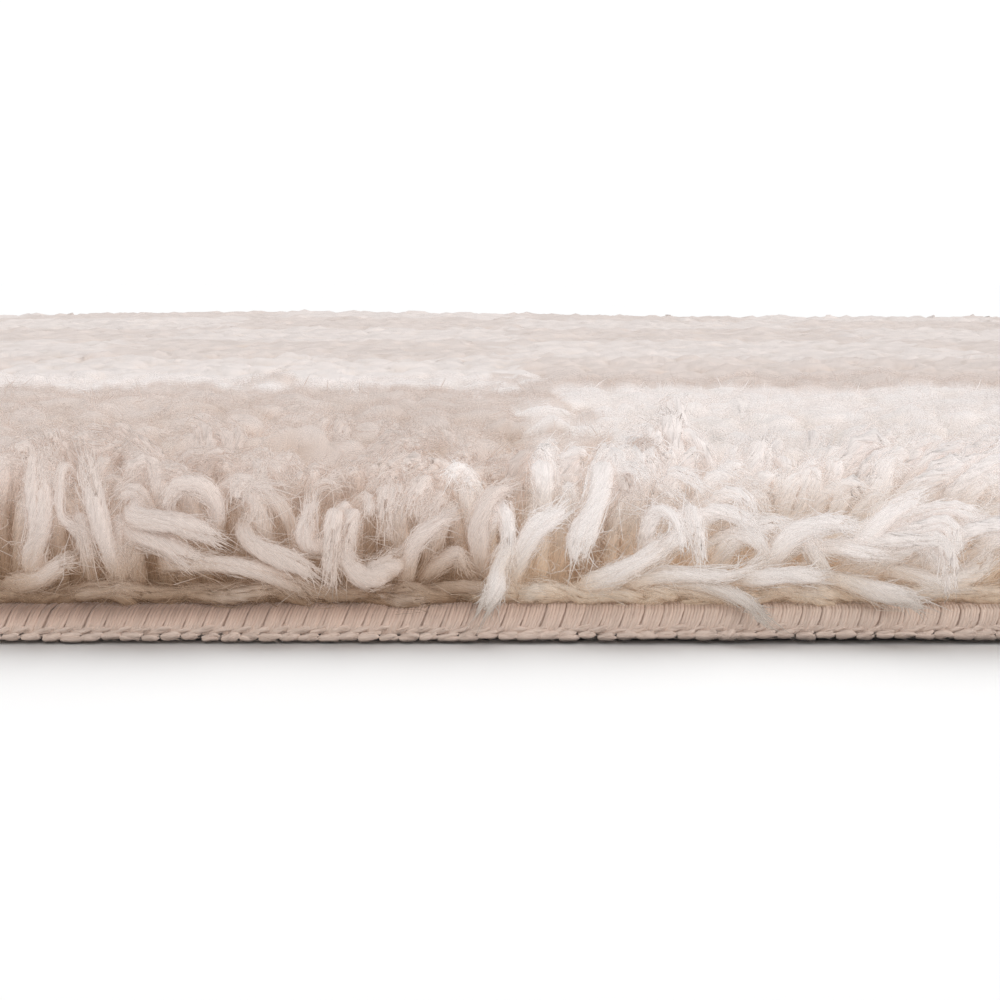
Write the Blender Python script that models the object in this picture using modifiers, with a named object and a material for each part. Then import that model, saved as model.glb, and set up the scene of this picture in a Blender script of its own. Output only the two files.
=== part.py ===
"""Square shag rug, lying flat: a woven ground cloth, an overlocked edge and a deep cut pile.

Metres, +Z up. The origin is on the floor under the rug's middle, and the front edge faces -Y.
"""

import math
import random

import bmesh
import bpy
from mathutils import Vector

# Driving sizes
RUG_SIDE = 1.000  # outer edge to outer edge of the overlocked edge
CLOTH_THICK = 0.0030  # ground weave
EDGE_WIDTH = 0.0060  # how far the overlock stitches reach in over the cloth
EDGE_HEIGHT = 0.0050
EDGE_ROUND = 0.0020
EDGE_ROUND_STEPS = 4
GAP = 0.0003  # between neighbouring pieces

PILE_HEIGHT = 0.0305  # mean height of the pile's top above the floor
RIM_HEIGHT = 0.0255  # where the top rolls over into the sides
TOP_CELLS = 40  # lumps along one side
LUMP = 0.0042  # how far a lump stands above or below the mean
RIM_LUMP = 0.0020
LUMP_STRAY = 0.22  # how far a lump lies off its place, as a share of a cell
LUMP_SEED = 7

# A low swell at the back left of the rug
SWELL_CENTRE = (-0.150, 0.440)
SWELL_RADIUS = 0.200
SWELL_HEIGHT = 0.0030

HALF = RUG_SIDE / 2
INNER = HALF - EDGE_WIDTH - GAP  # what lies inside the overlocked edge ends here
CLOTH_TOP = CLOTH_THICK + GAP

# The pile's side, from the rim down: how far each ring stands from the rug's middle, and its height
RIM_OUT = INNER - 0.0080
PILE_RINGS = (
    {"out": INNER + 0.0012, "height": 0.0145},
    {"out": INNER - 0.0010, "height": 0.0068},
    {"out": INNER - 0.0012, "height": CLOTH_TOP},
)
RIM_CUTS = 1  # the outline is cut finer than the lumps, so that each side face roots one lock
SIDE_FACE = RUG_SIDE / TOP_CELLS / (RIM_CUTS + 1)

# Locks hang out of the pile's side in two rows, from each row's side faces, one face in so many.
# Each line is a step along the lock, from its root to its tip: how far out it goes, how far it
# rises, and how wide it still is beside the step before
UPPER_LOCKS = {
    "ring": 0,
    "every": 2,
    "first": 0,
    "steps": (
        {"out": 0.0060, "rise": 0.0014, "width": 0.66},
        {"out": 0.0060, "rise": -0.0028, "width": 0.78},
        {"out": 0.0042, "rise": -0.0056, "width": 0.58},
    ),
}
LOWER_LOCKS = {
    "ring": 1,
    "every": 4,
    "first": 1,
    "steps": (
        {"out": 0.0044, "rise": 0.0006, "width": 0.74},
        {"out": 0.0048, "rise": -0.0018, "width": 0.76},
        {"out": 0.0032, "rise": -0.0024, "width": 0.58},
    ),
}
LOCK_LEAST = 0.70  # the shortest lock beside the longest
LOCK_LEAN = 0.0022  # how far a step may lean along the edge

FINISHES = {
    "pile_yarn": {"colour": (0.66, 0.57, 0.50, 1.0), "roughness": 0.85},
    "edge_yarn": {"colour": (0.45, 0.36, 0.29, 1.0), "roughness": 0.80},
    "ground_weave": {"colour": (0.52, 0.43, 0.33, 1.0), "roughness": 0.90},
}


def clear_scene():
    for old in list(bpy.data.objects):
        bpy.data.objects.remove(old, do_unlink=True)


def new_collection(name):
    made = bpy.data.collections.new(name)
    bpy.context.scene.collection.children.link(made)
    return made


def material(name):
    made = bpy.data.materials.new(name)
    made.use_nodes = True
    shader = made.node_tree.nodes["Principled BSDF"]
    shader.inputs["Base Color"].default_value = FINISHES[name]["colour"]
    shader.inputs["Roughness"].default_value = FINISHES[name]["roughness"]
    shader.inputs["Metallic"].default_value = 0.0
    return made


def add_object(name, bm, collection, finish):
    """A new object that holds the bmesh, which is freed."""
    mesh = bpy.data.meshes.new(name)
    bm.to_mesh(mesh)
    bm.free()
    mesh.materials.append(finish)
    made = bpy.data.objects.new(name, mesh)
    collection.objects.link(made)
    return made


def ground_cloth(collection, finish):
    """The flat woven sheet that the pile grows from, with its underside on the floor."""
    bm = bmesh.new()
    bmesh.ops.create_cube(bm, size=1.0)
    bmesh.ops.scale(bm, vec=(2 * INNER, 2 * INNER, CLOTH_THICK), verts=bm.verts[:])
    cloth = add_object("ground_cloth", bm, collection, finish)
    cloth.location.z = CLOTH_THICK / 2
    return cloth


def overlocked_edge(name, turn, collection, finish):
    """One side of the overlocked edge: a rounded bar with mitred ends, turned about the rug's middle."""
    bm = bmesh.new()
    middle = -HALF + EDGE_WIDTH / 2
    bmesh.ops.create_cube(bm, size=1.0)
    bmesh.ops.scale(bm, vec=(RUG_SIDE - 2 * GAP, EDGE_WIDTH, EDGE_HEIGHT), verts=bm.verts[:])
    bmesh.ops.translate(bm, vec=(0, middle, EDGE_HEIGHT / 2), verts=bm.verts[:])
    for vert in bm.verts:
        if vert.co.y > middle:
            vert.co.x -= math.copysign(EDGE_WIDTH, vert.co.x)
    weights = bm.edges.layers.float.new("bevel_weight_edge")
    for edge in bm.edges:
        outer = all(vert.co.y < middle for vert in edge.verts)
        lengthwise = abs(edge.verts[0].co.x - edge.verts[1].co.x) > EDGE_WIDTH
        edge[weights] = 1.0 if outer and lengthwise else 0.0
    bar = add_object(name, bm, collection, finish)
    bar.rotation_euler.z = turn
    bevel = bar.modifiers.new("rounded", "BEVEL")
    bevel.limit_method = "WEIGHT"
    bevel.width = EDGE_ROUND
    bevel.segments = EDGE_ROUND_STEPS
    return bar


def swell(x, y):
    away = math.dist((x, y), SWELL_CENTRE) / SWELL_RADIUS
    return SWELL_HEIGHT * math.exp(-away * away)


def lumpy_top(bm):
    """The pile's top: a grid whose points stand at uneven heights. Its outline is cut finer, for the locks."""
    chance = random.Random(LUMP_SEED)
    stray = LUMP_STRAY * 2 * RIM_OUT / TOP_CELLS
    bmesh.ops.create_grid(bm, x_segments=TOP_CELLS, y_segments=TOP_CELLS, size=RIM_OUT)
    for vert in bm.verts:
        lift = chance.uniform(-1, 1)
        shift = Vector((chance.uniform(-1, 1), chance.uniform(-1, 1), 0)) * stray
        height = swell(vert.co.x, vert.co.y)
        if vert.is_boundary:
            vert.co.z = RIM_HEIGHT + RIM_LUMP * lift + height
        else:
            vert.co.z = PILE_HEIGHT + LUMP * lift + height
            vert.co += shift
    rim = [edge for edge in bm.edges if edge.is_boundary]
    bmesh.ops.subdivide_edges(bm, edges=rim, cuts=RIM_CUTS)


def square_ring(verts, ring, previous_out):
    """Moves a ring of points out to the ring's own square, at its height."""
    share = ring["out"] / previous_out
    for vert in verts:
        vert.co.x *= share
        vert.co.y *= share
        vert.co.z = ring["height"]


def side_rows(bm):
    """Runs the top's outline down in rings, closes the underside and returns the rows of side faces."""
    edges = [edge for edge in bm.edges if edge.is_boundary]
    rows = []
    out = RIM_OUT
    for ring in PILE_RINGS:
        grown = bmesh.ops.extrude_edge_only(bm, edges=edges)["geom"]
        verts = [item for item in grown if isinstance(item, bmesh.types.BMVert)]
        rows.append([item for item in grown if isinstance(item, bmesh.types.BMFace)])
        square_ring(verts, ring, out)
        edges = [edge for edge in bm.edges if edge.is_boundary]
        out = ring["out"]
    bmesh.ops.edgeloop_fill(bm, edges=edges)
    bmesh.ops.recalc_face_normals(bm, faces=bm.faces[:])
    return rows


def outward(face):
    """The way that a side face looks, square to the rug's edge."""
    middle = face.calc_center_median()
    if abs(middle.x) > abs(middle.y):
        return Vector((math.copysign(1, middle.x), 0, 0))
    return Vector((0, math.copysign(1, middle.y), 0))


def lengthwise_of(out):
    """The way along the rug's edge, anticlockwise, at a side that looks out."""
    return Vector((-out.y, out.x, 0))


def column_of(face):
    """The face's place along its edge of the rug, counted the same way on all four edges."""
    along = lengthwise_of(outward(face))
    return math.floor(face.calc_center_median().dot(along) / SIDE_FACE)


def grow_lock(bm, face, steps):
    """Draws one side face out into a lock of four sides that narrows and droops."""
    chance = random.Random(column_of(face))
    reach = chance.uniform(LOCK_LEAST, 1.0)
    lean = chance.uniform(-1, 1) * LOCK_LEAN
    out = outward(face)
    along = lengthwise_of(out)
    for step in steps:
        face = bmesh.ops.extrude_discrete_faces(bm, faces=[face])["faces"][0]
        middle = face.calc_center_median()
        move = out * step["out"] * reach + along * lean + Vector((0, 0, step["rise"]))
        for vert in face.verts:
            vert.co = middle + (vert.co - middle) * step["width"] + move


def pile(collection, finish):
    """The pile as one lumpy slab with locks round its rim."""
    bm = bmesh.new()
    lumpy_top(bm)
    rows = side_rows(bm)
    for locks in (UPPER_LOCKS, LOWER_LOCKS):
        for face in rows[locks["ring"]]:
            if column_of(face) % locks["every"] == locks["first"]:
                grow_lock(bm, face, locks["steps"])
    return add_object("pile", bm, collection, finish)


def main():
    clear_scene()
    rug = new_collection("shag_rug")
    ground_cloth(rug, material("ground_weave"))
    edge_yarn = material("edge_yarn")
    for number, side in enumerate(("front", "right", "back", "left")):
        overlocked_edge(f"edge_{side}", number * math.pi / 2, rug, edge_yarn)
    pile(rug, material("pile_yarn"))


main()
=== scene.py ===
"""The looks of a square shag rug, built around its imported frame.

Metres, +Z up. The front edge faces -Y, and the camera looks at it from just above the floor. Where the
camera sees the front edge, the pile is made strand by strand, each a bundle of plies with loose fibres
and a halo. Elsewhere it is a sheet of tufts with plain strands round its rim, and near the camera that
sheet carries see-through fur and short fibres.
"""

import math

import bpy
import numpy as np
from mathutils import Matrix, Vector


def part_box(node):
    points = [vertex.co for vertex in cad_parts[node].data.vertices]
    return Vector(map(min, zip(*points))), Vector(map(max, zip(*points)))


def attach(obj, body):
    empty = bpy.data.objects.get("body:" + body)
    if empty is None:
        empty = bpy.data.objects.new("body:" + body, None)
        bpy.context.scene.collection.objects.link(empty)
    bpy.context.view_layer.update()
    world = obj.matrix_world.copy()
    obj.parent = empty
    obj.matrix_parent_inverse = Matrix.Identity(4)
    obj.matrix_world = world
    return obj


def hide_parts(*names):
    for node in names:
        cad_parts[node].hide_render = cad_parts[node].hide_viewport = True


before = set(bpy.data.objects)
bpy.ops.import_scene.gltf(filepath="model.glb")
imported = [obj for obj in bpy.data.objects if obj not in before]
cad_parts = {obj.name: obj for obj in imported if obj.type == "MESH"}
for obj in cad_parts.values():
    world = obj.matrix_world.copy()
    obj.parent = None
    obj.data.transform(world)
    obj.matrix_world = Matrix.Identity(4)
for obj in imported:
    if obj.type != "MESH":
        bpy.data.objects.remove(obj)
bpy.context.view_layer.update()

BODY = "root"
MM = 0.001

# Places that the frame gives
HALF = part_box("edge_right")[1].x
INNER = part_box("ground_cloth")[1].x
CLOTH_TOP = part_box("ground_cloth")[1].z
EDGE_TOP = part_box("edge_front")[1].z


def table(columns, *rows):
    """A table's rows, each a dictionary by the names of its columns."""
    return [dict(zip(columns.split(), row)) for row in rows]


def named(columns, *rows):
    """A table's rows by their names."""
    return {row["name"]: row for row in table(columns, *rows)}


# The photograph's camera
CAMERA_PLACE = (-0.008, -HALF - 0.245, 0.0545)
CAMERA_DOWN = math.radians(7.6)
SENSOR = 36.0
LENS = 59.4

# Pattern: a plain checkerboard of beige and cream. From its second row of squares on it is fainter,
# around a middle tone, where 0 is beige and 1 is cream
SQUARES = 6
SQUARE = 2 * HALF / SQUARES
SQUARE_STRAY = 5 * MM
SQUARE_BORDER = 24 * MM
BORDER_MIXED = 0.13
FAINT_FROM, FAINT_FULL = -0.350, -0.170
FAINT_SHARE = 0.68
FAINT_TONE = 0.50

# Colours, as linear light
BEIGE = (0.700, 0.614, 0.574)
# The middle and root colours of the pile are painted shade: the yarn's colour half hidden and deep in the
# pile, darker and warmer where little light gets in
BEIGE_HALF_SHADE = (0.570, 0.448, 0.368)
BEIGE_DEEP_SHADE = (0.41, 0.28, 0.19)
CREAM = (0.850, 0.800, 0.785)
CREAM_HALF_SHADE = (0.715, 0.632, 0.570)
CREAM_DEEP_SHADE = (0.78, 0.62, 0.48)
EDGE_YARN = (0.76, 0.62, 0.54)
EDGE_YARN_DARK = (0.66, 0.52, 0.44)
# Painted shade: the binding's top under the pile, browner, and deeper to the left
EDGE_YARN_TOP_SHADE = (0.68, 0.53, 0.44)
EDGE_YARN_SHADED = (0.80, 0.53, 0.41)
# The grey thread's colour, made darker as painted shade under the edge and in the gaps between the
# threads
EDGE_GREY_THREAD_AND_SHADE = (0.28, 0.24, 0.22)
CLOTH_LIGHT = (0.60, 0.50, 0.39)
CLOTH_DARK = (0.36, 0.27, 0.19)
FLOOR = (0.90, 0.90, 0.90)

# Light: white behind everything, a soft sky, and far lamps, each for the groups that it names. Its
# spread is in degrees, and one with no spread casts no shadow: these stand for the light that fibres
# and threads pass on
BACKDROP = 1.05
SKY = 0.36
WHITE = (1.0, 1.0, 1.0)
WARM = (1.0, 0.92, 0.85)
LAMPS = table(
    "name groups from strength spread colour",
    ("key", ("floor", "edge"), (0.45, 0.80, 1.25), 2.95, 56, WHITE),
    ("edge_front", ("edge",), (0.50, -0.80, 0.90), 1.05, 50, WHITE),
    ("edge_low", ("edge",), (0.30, -1, 0.45), 0.30, 0, WARM),
    ("edge_left", ("edge",), (-1, 0, 0.35), 0.35, 0, WHITE),
    ("edge_right", ("edge",), (1, 0, 0.35), 0.60, 0, WHITE),
    ("pile_dome", ("pile",), (0.12, -0.36, 1.00), 1.78, 165, WHITE),
    ("low_front", ("pile",), (0.20, -1, 0.12), 0.58, 0, WARM),
    ("low_back", ("pile",), (0.10, 1, 0.12), 0.58, 0, WARM),
    ("low_left", ("pile",), (-1, 0, 0.12), 0.58, 0, WARM),
    ("low_right", ("pile",), (1, 0, 0.12), 0.72, 0, WARM),
    ("low_under", ("pile",), (0, 0, -1), 0.50, 0, WARM),
)

# How open to the light the pile is, for the painted shade of its colour: by height from DEEP to OPEN, and
# by how far out of its side it is, which counts for little low down and more with height or clear of the
# side
DEEP, OPEN = 5 * MM, 29 * MM
SIDE_FROM, SIDE_FULL = -2 * MM, 3 * MM
CLEAR_FROM, CLEAR_FULL = 4.2 * MM, 7.2 * MM
SIDE_LEAST, SIDE_BY_HEIGHT, SIDE_BY_CLEAR = 0.06, 2.0, 0.6
SIDE_OPEN = 0.74

# Strands stand in clumps, whose tips draw together. The far part has the lumps of single locks
CLUMP = 11.5 * MM
CLUMP_PULL = 0.42
LOCK = 8.0 * MM
CROWN = 28.0 * MM  # how high the strands stand
RIM = 15 * MM  # how far in from the cloth's edge they spill out over it
TUFT_HEART = 13 * MM  # how high above the floor a tuft is rounded about
TWIST = 28.0  # turns of a strand in a metre

# How strands lean, spill over the edge and differ in height, in mm: by a smooth field over the rug (for
# the spill, all alike), by the clump's own trait, and by chance
SHARES = named(
    "name field clump chance",
    ("lean", 4.0, 3.4, 1.5),
    ("spill", 5.5, 2.0, 1.2),
    ("height", 1.6, 1.0, 0.8),
)
SPILL_LEAST, SPILL_MOST = -1 * MM, 10 * MM
RIM_LEAN = 0.8  # how much less the strands at the rim lean the way that they spill
RIM_LOWER, BRUSHED_LOWER = 3 * MM, 5 * MM
CLUMP_ROUND = 4.5 * MM  # how much lower a clump is at its border than in its middle
BEND, SWAY = 1.6 * MM, 3.2 * MM

# Strands of the rim hang: how many, and how far down their tips come. Other tips turn down a little
HANGING = 0.8
HANG = (0.25, 0.80)
HANG_TO, LOWEST_TIP = 6 * MM, 5 * MM
DROOP = (0.2, 3.5)

# The low swell at the back left
SWELL_PLACE = (-0.150, 0.440)
SWELL_REACH = 0.200
SWELL_HEIGHT = 4 * MM

# Right of the middle the near edge is brushed to the right
BRUSHED_FROM, BRUSHED_FULL = 0.000, 0.025
BRUSHED_DEEP = 0.030
BRUSH = 15 * MM

# The plies of a strand: how thick one of so many is beside it, how far they lie from its middle and
# part at its tip, as shares of its radius, how unevenly they wind, and how soft their shading is
PLY_SIZE = {3: 0.66, 4: 0.64, 5: 0.60}
PLY_AWAY, PLY_PARTS = 0.36, 0.35
PLY_UNEVEN, PLY_TURNS = 0.35, 0.30
PLY_WAVE = 0.16 * MM
PLY_TWIST = 60.0
PLY_SOFT = 0.75

# What runs along a strand and lifts off it, each a thin spike. from is where it begins, as a share of
# the strand, and depth how far from the strand's middle, as a share of its radius; length, thick, lift
# and curl are in mm; wrap is in radians
STRAYS = named(
    "name from length thick depth wrap lift curl points",
    ("fibre", (0.12, 0.93), 7.0, 0.16, (0.85, 1.25), 0.5, 0.40, 0.16, 3),
    ("top_fibre", (0.40, 0.93), 6.0, 0.20, (0.75, 1.25), 0.5, 0.60, 0.25, 3),
    ("fuzz", (0.02, 0.97), 3.2, 0.10, (0.90, 1.10), 0.9, 1.20, 0.45, 2),
    ("fray", (0.80, 0.99), 2.6, 0.16, (0.00, 1.30), 0.3, 1.00, 0.30, 3),
    ("brush", (0.60, 0.95), 4.6, 0.21, (0.20, 1.10), 0.3, 1.00, 0.30, 3),
    ("wisp", (0.10, 0.90), 11.0, 0.10, (0.90, 1.00), 1.2, 3.20, 0.60, 5),
    ("fluff", (0.05, 0.80), 1.4, 0.09, (0.90, 1.00), 1.5, 0.60, 0.15, 2),
)

# Zones of the pile, finest first; a strand belongs to the first zone that holds its root. x and y are
# the zone's reach, rim is how far in from the cloth's edge it goes, spacing and thick are in mm, rings
# are a strand's, start is the share of it that the bed hides, droop is how far its tip may turn down,
# tall scales its height, and soft is how far it is shaded as a part of its tuft. halo has the width of
# each of its halos beside its own, and strays how many of each kind it has
FRONT_ZONE = {"y": (-INNER, -0.4847), "spacing": 4.2, "thick": 2.8, "rings": 11, "start": 0.0,
              "droop": 1.0, "soft": 0.25, "plies": 4, "halo": (1.25, 1.70),
              "strays": {"fibre": 24, "fray": 40, "fuzz": 110, "wisp": 1}}
ZONES = (
    {**FRONT_ZONE, "name": "pile_front_left", "seed": 1, "x": (-0.092, -0.006)},
    {**FRONT_ZONE, "name": "pile_front_right", "seed": 2, "x": (-0.006, 0.082)},
    {"name": "pile_near", "seed": 3, "x": (-0.102, 0.088), "y": (-INNER, -0.464), "spacing": 4.6,
     "thick": 3.4, "rings": 6, "start": 0.3, "droop": 0.7, "soft": 0.3, "plies": 3, "halo": (1.45,),
     "strays": {"top_fibre": 10, "brush": 10, "fuzz": 10}},
    {"name": "pile_rim", "seed": 8, "x": (-INNER, INNER), "y": (-INNER, INNER), "rim": 11 * MM,
     "spacing": 6.2, "thick": 6.6, "rings": 5, "start": 0.1, "droop": 1.0, "tall": 0.93,
     "soft": 0.15, "plies": 0},
)
CORE_SIDES = 4
PLY_SIDES = 6

# Strands of the near edge that are laid one by one, from root to tip, in mm: x to the right, z above the
# floor, and out, how far each point stands before the cloth's edge
LAID = table(
    "x z out thick",
    ((-84, -80.5, -77, -73.5), (7, 9, 10, 12), (0, 3, 4, 4), 4.2),
    ((-75, -74.5, -74, -71.5), (26, 23.5, 18.5, 15.5), (-1, 2, 4, 4), 2.3),
    ((-66.5, -67.5, -69, -70.5), (10, 14, 19, 27), (1, 4, 4, 1), 5.0),
    ((-78.5, -79, -77.5, -79), (10, 13, 18.5, 27), (0, 3, 3, 1), 4.8),
    ((-64, -63, -57.5, -51.5), (20, 19, 18, 15), (-2, 3, 5, 5), 4.8),
    ((-66, -64, -58.5, -53), (17, 16, 15, 12), (-2, 2, 4, 4), 4.2),
    ((-68, -66, -64), (7, 11, 15), (-2, 0, 0), 4.2),
    ((-60, -51.5, -42.5, -35.5), (11, 11.5, 10, 7.5), (0, 4, 5, 5), 3.4),
    ((-48, -46.5, -42, -37), (17, 16, 13.5, 10), (-3, 2, 5, 6), 4.6),
    ((-52, -51, -53, -57, -59), (16, 20.5, 24, 23.5, 20), (-1, 2, 4, 4, 4), 4.0),
    ((-31, -34.5, -37, -37.5), (11, 14, 16, 20), (0, 3, 4, 2), 3.4),
    ((-52, -48, -43.5), (22, 23.5, 23), (-3, 0, 2), 3.6),
    ((-32.5, -30.5, -27.5, -25, -23), (15, 11.5, 9.5, 12, 14), (1, 5, 6, 5, 3), 4.2),
    ((-22.5, -21.5, -19, -15), (9, 15, 17.5, 18.5), (2, 5, 5, 3), 3.2),
    ((-6.5, -8.5, -10.5), (14, 9.5, 5.5), (1, 5, 8), 3.4),
    ((-11, -11.5, -9, -6), (10, 17.5, 21.5, 22.5), (0, 3, 4, 2), 4.0),
    ((-20, -18, -15, -12), (8, 11, 12.5, 10.5), (-1, 1, 2, 1), 3.4),
    ((-6, -2.5, 0.5), (9, 16, 20), (0, 3, 2), 4.8),
    ((7.5, 7, 5.5, 4), (25, 22, 17, 12.5), (-2, 1, 3, 4), 5.0),
    ((5, 8, 12, 17), (7, 9, 12, 16), (1, 4, 4, 2), 4.4),
    ((16, 17.5, 20), (10, 15, 18.5), (0, 3, 3), 3.8),
    ((12, 17, 24, 31.5), (8, 9.5, 10.5, 12.5), (1, 4, 5, 4), 3.6),
    ((28, 31.5, 35.5, 41), (8, 9.5, 11, 10), (1, 5, 6, 6), 4.0),
    ((17, 21, 26, 30, 32), (8.5, 8.5, 8, 6.5, 4), (1, 4, 6, 8, 9), 2.3),
    ((33, 34.5, 36.5, 41), (9, 13, 16, 18), (0, 3, 4, 4), 4.4),
    ((40, 45, 51), (13, 14, 14), (0, 4, 4), 3.6),
    ((46, 47.5, 50, 55), (12, 15.5, 19, 21), (0, 3, 4, 3), 4.2),
    ((42, 47, 51.5, 55), (9, 8.5, 7.5, 6), (1, 5, 7, 8), 3.6),
    ((51, 56, 59.5, 63, 66), (10, 9.5, 9, 10.5, 13), (0, 4, 5, 4, 2), 4.0),
    ((57, 59, 61.5, 66), (9, 12, 15, 17.5), (0, 3, 3, 1), 4.4),
)
LAID_SLIM = 0.76
LAID_HALO = (1.25, 1.75)
LAID_LOOK = {"rings": 18, "plies": 5, "ply_sides": 7,
             "strays": {"fibre": 40, "fray": 60, "fuzz": 140, "wisp": 2}}

# Short matted strands that lie along the top of the near edge, in mm, as LAID
FOOT = {"count": 34, "x": (-96, 82), "length": (8, 17), "z": (5.7, 7.6), "out": (0.4, 4.2),
        "thick": (2.3, 3.6), "points": 4}
FOOT_LOOK = {"rings": 9, "plies": 3, "ply_sides": 6,
             "strays": {"fibre": 8, "fray": 14, "fuzz": 52, "wisp": 2}}

# Single fibres between the strands of the near edge. x is in metres and the rest in mm, with deep as
# far in from the cloth's edge
FLUFF = {"count": 1050, "x": (-0.092, 0.082), "deep": (-4, 7), "height": (5.2, 22), "length": (4, 11),
         "thick": 0.10, "bow": 1.1}
FRONT_TONE_Y = -INNER + 4 * MM  # where the pattern is read for what lies on the near edge

# The mass between the strands is made of sheets of tufts. One covers the whole rug. The others spread
# out like a fan from the camera, finer near it: near and far are their reach from it, and across their
# half width, as a share of that reach. The first sinks under the fan
BED = {"name": "pile_bed", "reach": INNER - 0.5 * MM, "rim": 13 * MM, "rim_cells": 7, "cells": 213}
BED_FAN = {"name": "pile_bed_fan", "near": 0.262, "far": 0.620, "across": 0.34, "cells": (184, 132)}
BED_SINK = 2.5 * MM

# The see-through fur that lies over them near the camera: how high each layer is, and how sparse
FUR_FAN = {"near": 0.264, "far": 0.450, "across": 0.335, "cells": (140, 84)}
FUR_LAYERS = table(
    "name lift thin",
    ("pile_fur_low", 0.55 * MM, 0.15),
    ("pile_fur_middle", 1.10 * MM, 0.35),
    ("pile_fur_top", 1.70 * MM, 0.60),
)

# The bed lies low behind the strands of the near edge and climbs to its full height behind them. It
# is full up to its rim wherever the strands are plain, on the open sides
BED_LOW, BED_HIGH = 18.5 * MM, 27.4 * MM
BED_FROM, BED_FULL = -0.480, -0.464
SEEN_MIDDLE, SEEN_HALF, SEEN_OVER = -0.007, 0.095, 0.103
FRONT_PART = -0.4
BED_INSET, BED_INSET_OPEN = 7 * MM, 5 * MM
BED_ROUND, BED_ROUND_OPEN = 20 * MM, 12 * MM
RELIEF, RELIEF_NEAR = 0.85, 0.65
RELIEF_FROM, RELIEF_FULL = -0.38, -0.45
# The bed's colour is painted darker between its tufts, as painted shade
TUFT_HOLLOW_SHADE = 0.28  # how much less open to the light the bed is between its tufts

# Short fibres that stand out of the bed's tufts, fewer away from the camera. near, far and across are
# as for the fans, and rise is how steeply they stand. The rest is in mm
MIST = {"count": 4600, "near": 0.262, "far": 0.44, "across": 0.33, "length": (2.0, 5.5), "thick": 0.14,
        "rise": 0.45, "deep": 0.5, "curl": 0.25}

# Overlocked edge. Near the camera it is made thread by thread, elsewhere with one ridge and one loop a
# stitch
STITCH = 3.0 * MM
WRAPS = 6  # threads side by side in one stitch
WRAP_RADIUS = (0.30, 0.37)  # in mm
RIDGE, RIDGE_DEEP = 2.4 * MM, 1.42 * MM  # the soft body of a stitch, under its threads
# The ridges are partly given the grey thread's dark colour, as painted shade in the gaps between the
# threads
RIDGE_SHADE_TONE = 0.55
PLAIN_RIDGE = 0.95 * MM
FINE_EDGE = (-0.096, 0.090)  # the stretch of the front edge that is made thread by thread

# A wrapping thread, in mm, from the foot of the edge over its top: along the edge, in from its face,
# and height. PINCH is how near each other a stitch's threads lie, from their foot on
WRAP_LINE = {
    "along": (-0.95, -0.62, -0.16, 0.26, 0.52, 0.66, 0.76, 0.80),
    "in": (0.25, 0.02, 0.12, 0.62, 1.70, 3.60, 5.40, 6.60),
    "up": (1.30, 2.20, 3.30, 4.35, 4.95, 5.00, 4.90, 4.30),
}
PINCH = {"place": (0, 0.2, 0.5, 1), "share": (0.74, 0.87, 0.93, 0.98)}
STRAY_THREAD = 0.05 * MM

# Rows of loops along the foot of the edge, in mm; shift is in stitches, tilt how far an end rises, and
# lift how much higher the row lies from the rug's middle to the right
LOOPS = table(
    "shift in up length thick tilt lift",
    (0.25, 0.00, 1.92, 3.3, 1.02, 0.46, 0.25),
    (0.75, -0.40, 1.00, 3.0, 1.46, 0.16, 0.36),
)
PLAIN_LOOPS = {"in": 0.05, "up": 1.2, "length": 2.7, "thick": 1.9, "tilt": 0.16, "lift": 0}
LIFT_FROM, LIFT_FULL = -0.030, 0.030

# Plain rolls that the threads lie on, in mm: how far in and how high their middle is. under is 1 for
# the grey thread, whose colour is darker as painted shade under the edge
ROLLS = table("in up radius under", (2.9, 2.42, 2.36, 0.0), (1.75, 1.15, 0.95, 1.0))
ROLL_END = 2.6 * MM
ROLL_POINTS = 60

# Ground cloth
WEAVE_CELLS = 40
WEAVE_PITCH = 2.6 * MM
WEAVE_UNEVEN = 0.12 * MM
WEAVE_UNDER, WEAVE_SUNK = 0.05 * MM, 0.4 * MM

# Streaks of the materials, in turns per metre across, across and along a fibre
YARN_STREAKS = (2600, 2600, 130)
HALO_STREAKS = (4600, 4600, 260)
THREAD_STREAKS = (9000, 9000, 900)

# The binding's painted shade: darker at its top under the pile, deeper to the left, and a painted shadow
# at its foot near the floor. Heights are (from, full); the foot's reach higher where the loops do
SHADE_X = (-0.060, 0.030)
TOP_SHADE_HEIGHT = (2.2 * MM, 5.2 * MM)
PILE_SHADE_HEIGHT = (2.8 * MM, 4.9 * MM)
PILE_SHADE = {"foot": 0.97, "left": 0.43, "right": 0.94}
# Painted shadow at the binding's foot, where it meets the floor
FOOT_SHADE = {"share": 0.30, "from": (0.27 * MM, 0.50 * MM), "full": (0.60 * MM, 1.50 * MM)}


# ---- Curves and tubes ----


def ramp(value, start, full):
    """0 up to start, 1 from full on, and even between them."""
    return np.clip((value - start) / (full - start), 0, 1)


def smooth(share):
    return share * share * (3 - 2 * share)


def unit(vectors):
    return vectors / np.maximum(np.linalg.norm(vectors, axis=-1, keepdims=True), 1e-9)


def inside(x, y):
    """How far in from the cloth's edge these places are."""
    return INNER - np.maximum(np.abs(x), np.abs(y))


def bezier(corners, rings, start=0.0):
    """Points along cubic curves: corners is (count, 4, 3), the result (count, rings, 3)."""
    t = np.linspace(start, 1, rings)
    weights = np.stack([(1 - t) ** 3, 3 * t * (1 - t) ** 2, 3 * t * t * (1 - t), t**3], axis=1)
    return np.einsum("rk,nkc->nrc", weights, corners)


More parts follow.
